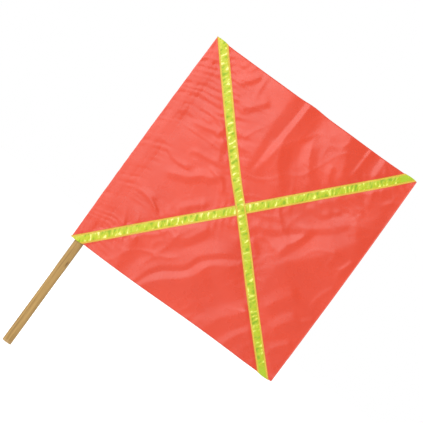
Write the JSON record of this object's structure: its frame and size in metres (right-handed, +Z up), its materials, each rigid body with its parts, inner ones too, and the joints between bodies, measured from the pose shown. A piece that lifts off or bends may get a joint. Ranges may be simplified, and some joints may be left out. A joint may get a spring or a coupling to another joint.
{
  "type": "hand-held warning flag",
  "caption": "Square vinyl warning flag with crossed reflective tapes, its sewn pocket stapled round the upper part of a round wooden staff.",
  "frame": {"origin": "centre of the staff's lower end, on the staff's axis", "axes": "+Z up along the staff towards the flag, +X from the staff to the flag's fly edge, -Y out of the flag's front"},
  "size_m": [0.6096, 0.0283, 0.9174],
  "materials": {
    "wood": "sanded bare hardwood with a fine straight grain",
    "vinyl": "smooth glossy soft vinyl sheet, orange-red",
    "reflective_tape": "puckered lime reflective tape",
    "seam_thread": "twisted sewing thread",
    "tape_thread": "twisted sewing thread",
    "steel": "flat galvanised wire"
  },
  "bodies": {
    "staff": {"staff_dowel": "wood", "flag_pocket": "vinyl", "pocket_needle_thread": "seam_thread", "pocket_bobbin_thread": "seam_thread", "staples": "steel", "rising_tape_pocket_end": "reflective_tape", "falling_tape_pocket_end": "reflective_tape", "rising_pocket_end_thread": "tape_thread", "falling_pocket_end_thread": "tape_thread"},
    "flag": {"flag_panel": "vinyl", "rising_tape_front": "reflective_tape", "falling_tape_front": "reflective_tape", "rising_tape_back": "reflective_tape", "falling_tape_back": "reflective_tape", "rising_upper_needle_thread": "tape_thread", "rising_lower_needle_thread": "tape_thread", "falling_upper_needle_thread": "tape_thread", "falling_lower_needle_thread": "tape_thread", "rising_upper_bobbin_thread": "tape_thread", "rising_lower_bobbin_thread": "tape_thread", "falling_upper_bobbin_thread": "tape_thread", "falling_lower_bobbin_thread": "tape_thread"}
  },
  "joints": [
    {"name": "flag_swing", "type": "hinge", "parent": "staff", "child": "flag", "pos_m": [0.0368, -0.01275, 0.6126], "axis": [0, 0, 1], "range_deg": [-150, 130]}
  ]
}
